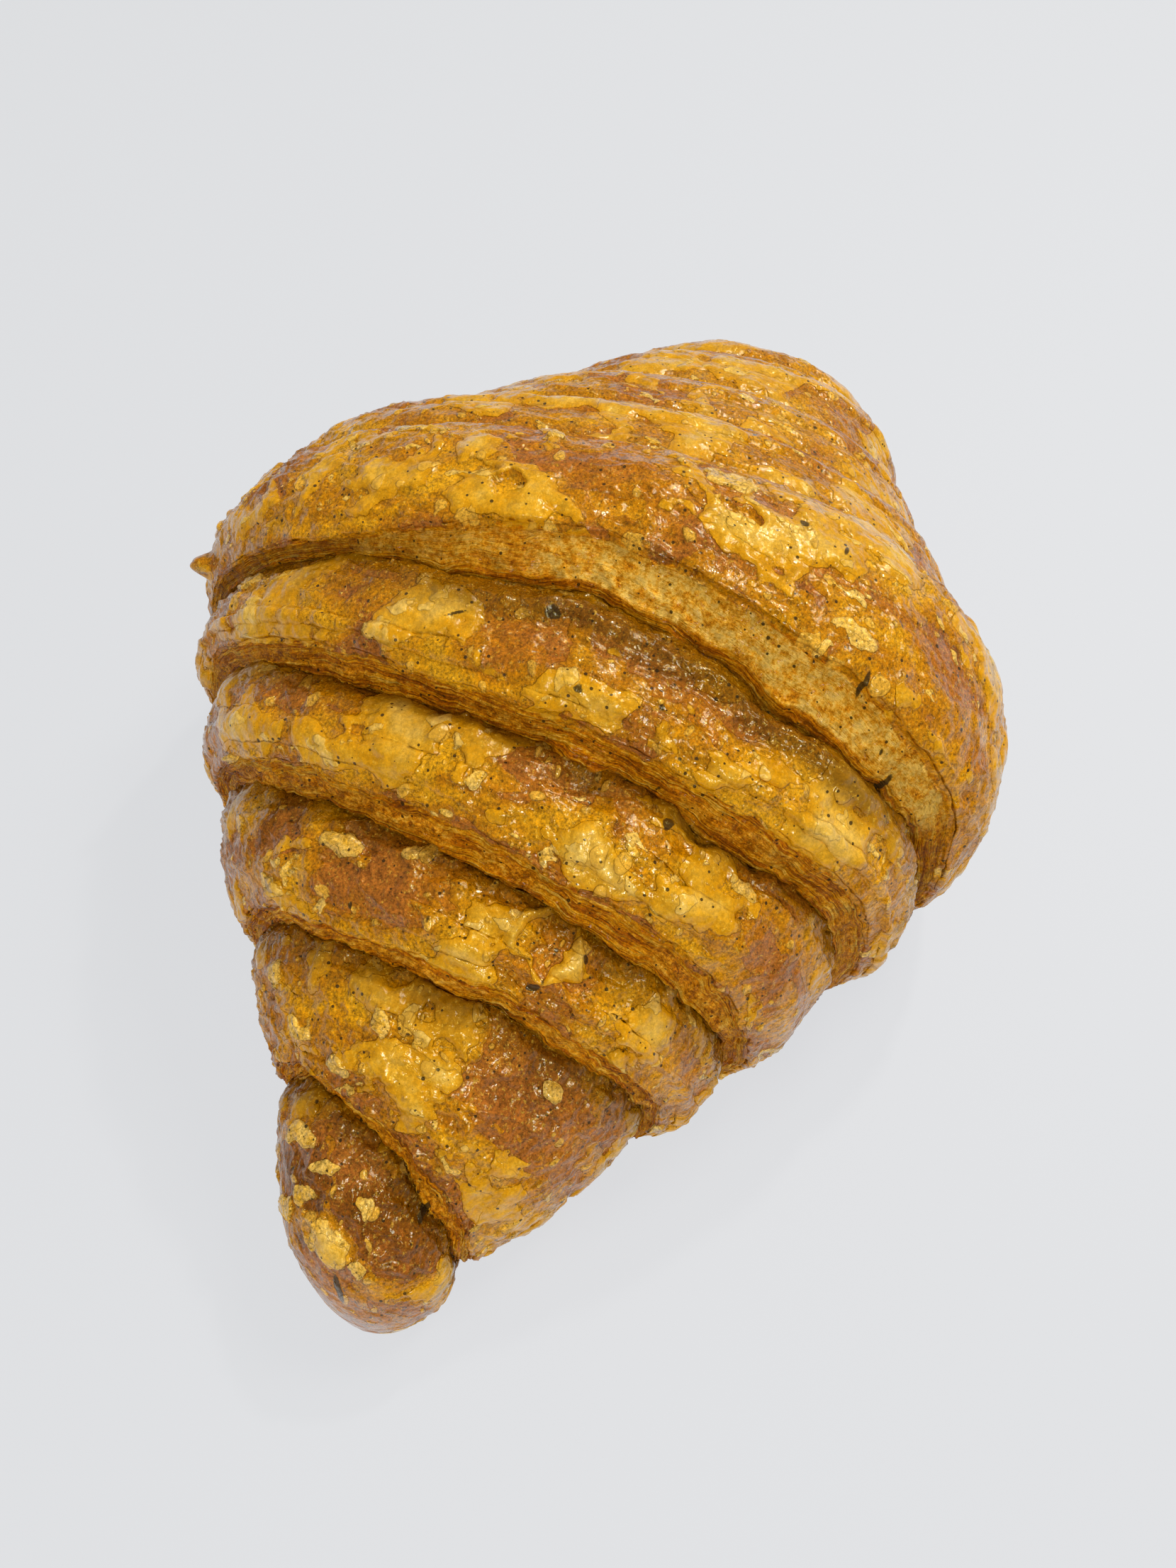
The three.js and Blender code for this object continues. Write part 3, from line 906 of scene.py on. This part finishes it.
def skin_shade(g, mottling):
    """The skin's colour, where it is blistered, and how far its marks stand up.

    The glaze lies under see-through films, blisters and pale dry flecks."""
    jitter = g.times(g.math("SUBTRACT", g.noise(1300, 4, 0.65), 0.5), 0.2)
    patch_field = g.plus(g.field("patch"), jitter)
    film_field = g.plus(g.field("film"), jitter)
    pale_field = g.plus(g.field("pale"), g.times(jitter, 1.4))
    bubble_field = g.plus(g.field("bubble"), g.times(jitter, 1.2))
    on_film = g.smooth(film_field, -0.03, 0.03)
    on_patch = g.smooth(patch_field, -0.03, 0.03)
    on_pale = g.smooth(pale_field, -0.02, 0.06)
    on_bubble = g.smooth(bubble_field, 0.0, 0.3)

    glaze = g.ramp(g.total((1.0, g.field("bake")), (1.2, mottling), (1.0, 0.04)), GLAZE)
    amber = g.ramp(g.total((0.7, film_field), (1.0, mottling), (1.0, 0.25)), AMBER_FILM)
    tan = g.ramp(g.total((0.62, patch_field), (0.9, mottling), (1.0, 0.22)), TAN_BLISTER)
    cream = g.ramp(g.noise(700, 4, 0.7), PALE_FLECK)
    rim = g.times(g.smooth(patch_field, -0.09, -0.03), g.smooth(patch_field, 0.0, -0.03))
    rim = g.times(rim, g.smooth(g.noise(300, 2), 0.5, 0.7, 0.0, 0.45))

    shade = g.mix(g.times(on_film, 0.85), glaze, amber)
    shade = g.mix(rim, shade, colour(*BLISTER_RIM))
    shade = g.mix(g.times(on_patch, 0.95), shade, tan)
    shade = g.mix(g.times(on_pale, 0.8), shade, cream)
    shade = g.mix(g.times(on_bubble, 0.75), shade, colour(*BUBBLE_TOP))
    relief = g.total((0.26, on_patch), (0.14, on_film), (0.2, on_pale), (0.22, on_bubble))
    return shade, on_patch, relief


def lip_streaks(g):
    """Noise drawn out along the thin layers of a cut face."""
    split = g.node("ShaderNodeSeparateXYZ")
    g.feed(split.inputs[0], g.position())
    join = g.node("ShaderNodeCombineXYZ")
    g.feed(join.inputs[0], g.times(g.field("layer"), 2.6))
    g.feed(join.inputs[1], g.times(split.outputs[1], 260))
    g.feed(join.inputs[2], g.times(split.outputs[2], 260))
    made = g.node("ShaderNodeTexNoise", {"Scale": 1.0, "Detail": 4.0, "Roughness": 0.62})
    g.feed(made.inputs["Vector"], join.outputs[0])
    return made.outputs["Fac"]


def lip_shade(g, streaks):
    """The cut edges of many thin layers, with dark gaps between them."""
    layer = g.field("layer")
    luck = g.node("ShaderNodeTexWhiteNoise", {"W": g.math("FLOOR", layer)}, noise_dimensions="1D")
    tone = g.total((0.3, luck.outputs["Value"]), (2.0, streaks), (0.8, g.noise(170, 3, 0.6)),
                   (1.0, g.noise(1500, 4, 0.75)), (1.0, -1.56))
    off_middle = g.math("ABSOLUTE", g.math("SUBTRACT", g.math("FRACT", layer), 0.5))
    gap = g.times(g.smooth(off_middle, 0.34, 0.48), g.smooth(g.noise(420, 2), 0.36, 0.6))
    return g.mix(g.times(gap, 0.7), g.ramp(tone, CUT_LAYERS), colour(*LAYER_GAP))


def crumb_shade(g):
    """Raw-looking dough: pale crumbs on golden dough."""
    clumps = g.noise(400, 5, 0.74, (1.9, 1.0, 1.0))
    tone = g.total((0.85, clumps), (0.7, g.noise(1500, 3, 0.75)), (0.14, g.field("raw")), (1.0, -0.35))
    return g.ramp(tone, CRUMB)


def grainy(g, shade, smooth_places):
    """The shade with fine grain and light specks, which are partly pale flecks of crust and partly
    painted glints. The grain is weaker on blisters and cut faces.
    """
    strength = g.math("MULTIPLY_ADD", smooth_places, -2.2, 3.4)
    grain = g.math("SUBTRACT", g.noise(3000, 3, 0.75), 0.5)
    blotches = g.math("MULTIPLY_ADD", g.noise(800, 4, 0.7), 1.0, 0.5)
    shade = g.brightness(shade, g.math("MULTIPLY_ADD", strength, grain, blotches))
    # Light specks: pale flecks of crust, and painted glints.
    specks_and_glints = g.smooth(g.noise(2300, 3, 0.7), 0.56, 0.72, 0.0, 0.45)
    return g.mix(specks_and_glints, shade, colour(*PALE_SPECK_AND_GLINT))


def dark_dots(g, mottling):
    """Charred specks: fine ones, larger ones, short strokes, and the ones in their own places."""
    charred = g.smooth(g.plus(g.field("charred"), mottling), 0.0, 0.25)
    strokes = g.specks(340, 0.12, 0.35, (0.35, 1.0, 0.6))
    return g.largest(g.specks(1000, 0.22, 0.6), g.specks(310, 0.1, 0.5), strokes, charred)


def glossy_surface(g, relief, streaks, cut):
    """A buttery shine: a smooth coat over the finer grain of the crust."""
    rough = g.smooth(g.noise(330, 3, 0.6), 0.35, 0.65, 0.06, 0.24)
    inputs = g.shader.inputs
    g.feed(inputs["Roughness"], g.largest(rough, g.times(g.field("riser"), 0.6)))
    inputs["Specular IOR Level"].default_value = 0.3
    inputs["Specular Tint"].default_value = (1.0, 0.84, 0.15, 1.0)
    inputs["Subsurface Weight"].default_value = 0.0

    relief = g.times(relief, g.math("SUBTRACT", 1.0, cut))
    lumps = g.total((1.0, relief), (0.26, g.noise(800, 3, 0.6)), (2.2, g.noise(300, 2, 0.45)))
    grain = g.total((1.0, lumps), (0.12, g.noise(2600, 3, 0.7)), (1.5, g.times(streaks, cut)))
    g.feed(inputs["Normal"], g.bump(grain))
    g.feed(inputs["Coat Normal"], g.bump(lumps))
    g.feed(inputs["Coat Weight"], g.math("MULTIPLY_ADD", cut, -0.4, 0.5))
    inputs["Coat Roughness"].default_value = 0.12
    inputs["Coat IOR"].default_value = 1.4


def crust_material():
    g = Graph("crust")
    mottling = g.total((0.6, g.noise(240, 5, 0.68)), (0.5, g.noise(1100, 5, 0.75)), (1.0, -0.55))
    shade, on_patch, relief = skin_shade(g, mottling)
    streaks = lip_streaks(g)
    cut = g.smooth(g.plus(g.field("cut"), g.times(mottling, 0.5)), 0.15, 0.5)
    shade = g.mix(cut, shade, lip_shade(g, streaks))
    shade = g.mix(g.largest(g.field("raw"), g.field("doughy")), shade, crumb_shade(g))
    # Painted shade in the creases and hollows, and the front fold's darker skin.
    crease = g.plus(g.field("crease"), g.times(mottling, 0.6))
    shade = g.mix(g.smooth(crease, 0.2, 1.0, 0.0, 0.78), shade, colour(*PAINTED_SHADE_AND_FOLD))
    shade = grainy(g, shade, g.largest(on_patch, cut))
    shade = g.mix(g.times(dark_dots(g, mottling), 0.9), shade, colour(*CHAR))
    g.feed(g.shader.inputs["Base Color"], shade)
    glossy_surface(g, relief, streaks, cut)
    return g.material


def table_material():
    """A dark table with a pale glow of its own, which keeps it even and its shadows faint."""
    g = Graph("table")
    g.feed(g.shader.inputs["Base Color"], colour(*TABLE_TOP))
    g.shader.inputs["Roughness"].default_value = 0.6
    g.shader.inputs["Specular IOR Level"].default_value = 0.2
    g.feed(g.shader.inputs["Emission Color"], TABLE_GLOW)
    g.shader.inputs["Emission Strength"].default_value = TABLE_GLOW_STRENGTH
    return g.material


# ---- The piece ----

crust = bpy.data.objects.new("croissant_crust", croissant_mesh())
bpy.context.scene.collection.objects.link(crust)
crust.data.materials.append(crust_material())
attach(crust, "root")
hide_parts("croissant")

# ---- The table, the light and the camera ----

TABLE_HALF = 1.5


def make_table():
    mesh = bpy.data.meshes.new("table")
    corners = [(-TABLE_HALF, -TABLE_HALF, 0), (TABLE_HALF, -TABLE_HALF, 0),
               (TABLE_HALF, TABLE_HALF, 0), (-TABLE_HALF, TABLE_HALF, 0)]
    mesh.from_pydata(corners, [], [(0, 1, 2, 3)])
    table = bpy.data.objects.new("table", mesh)
    table.data.materials.append(table_material())
    bpy.context.scene.collection.objects.link(table)


# A soft lamp behind on the right, a fill from the camera's side, and a small one for the glints.
LAMPS = [
    dict(name="softbox", place=(0.28, -0.2, 0.5), size=0.16, energy=1.25),
    dict(name="fill", place=(-0.36, -0.16, 0.44), size=0.1, energy=1.45),
    dict(name="glint", place=(0.33, -0.08, 0.42), size=0.03, energy=0.85),
]
LAMP_COLOUR = (1.0, 0.98, 0.95)
LAMP_TARGET = Vector((0, 0, 0.02))
ROOM_COLOUR = (1.0, 0.93, 0.7, 1.0)
ROOM_AT_HORIZON = 0.3
ROOM_OVERHEAD = 0.42


def make_lamp(name, place, size, energy):
    lamp = bpy.data.lights.new(name, "AREA")
    lamp.energy = energy
    lamp.size = size
    lamp.color = LAMP_COLOUR
    holder = bpy.data.objects.new(name, lamp)
    holder.location = place
    holder.rotation_mode = "QUATERNION"
    holder.rotation_quaternion = (LAMP_TARGET - holder.location).to_track_quat("-Z", "Y")
    bpy.context.scene.collection.objects.link(holder)


def make_room():
    """A dim, warm room all round, a little brighter overhead."""
    world = bpy.data.worlds.new("studio")
    world.use_nodes = True
    nodes, links = world.node_tree.nodes, world.node_tree.links
    background = nodes["Background"]
    split = nodes.new("ShaderNodeSeparateXYZ")
    links.new(nodes.new("ShaderNodeTexCoord").outputs["Generated"], split.inputs[0])
    height = nodes.new("ShaderNodeMapRange")
    for name, value in (("From Min", 0.0), ("From Max", 1.0),
                        ("To Min", ROOM_AT_HORIZON), ("To Max", ROOM_OVERHEAD)):
        height.inputs[name].default_value = value
    links.new(split.outputs["Z"], height.inputs["Value"])
    links.new(height.outputs[0], background.inputs["Strength"])
    background.inputs["Color"].default_value = ROOM_COLOUR
    bpy.context.scene.world = world


# The camera looks down past the narrow tip, close to the croissant, so the far end looks small.
CAMERA_AZIMUTH = -66.66
CAMERA_ELEVATION = 56.76
CAMERA_DISTANCE = 136.8 * MM
CAMERA_TARGET = Vector((-15.1, -6.7, 25.0)) * MM
CAMERA_ROLL = -1.53
CAMERA_LENS = 27.03
FILM_LONG_SIDE = 36.0


def make_camera():
    azimuth = math.radians(CAMERA_AZIMUTH)
    elevation = math.radians(CAMERA_ELEVATION)
    roll = math.radians(CAMERA_ROLL)
    back = Vector((math.sin(azimuth) * math.cos(elevation), -math.cos(azimuth) * math.cos(elevation),
                   math.sin(elevation)))
    side = Vector((math.cos(azimuth), math.sin(azimuth), 0))
    up = back.cross(side)
    right = side * math.cos(roll) + up * math.sin(roll)
    above = up * math.cos(roll) - side * math.sin(roll)
    camera = bpy.data.objects.new("camera", bpy.data.cameras.new("camera"))
    camera.data.lens = CAMERA_LENS
    camera.data.sensor_width = FILM_LONG_SIDE
    camera.data.clip_start = 0.005
    turn = Matrix((right, above, back)).transposed().to_4x4()
    camera.matrix_world = Matrix.Translation(CAMERA_TARGET + back * CAMERA_DISTANCE) @ turn
    bpy.context.scene.collection.objects.link(camera)
    bpy.context.scene.camera = camera


make_table()
make_room()
for lamp_settings in LAMPS:
    make_lamp(**lamp_settings)
make_camera()
bpy.context.scene.view_settings.view_transform = "Standard"

bpy.context.view_layer.update()
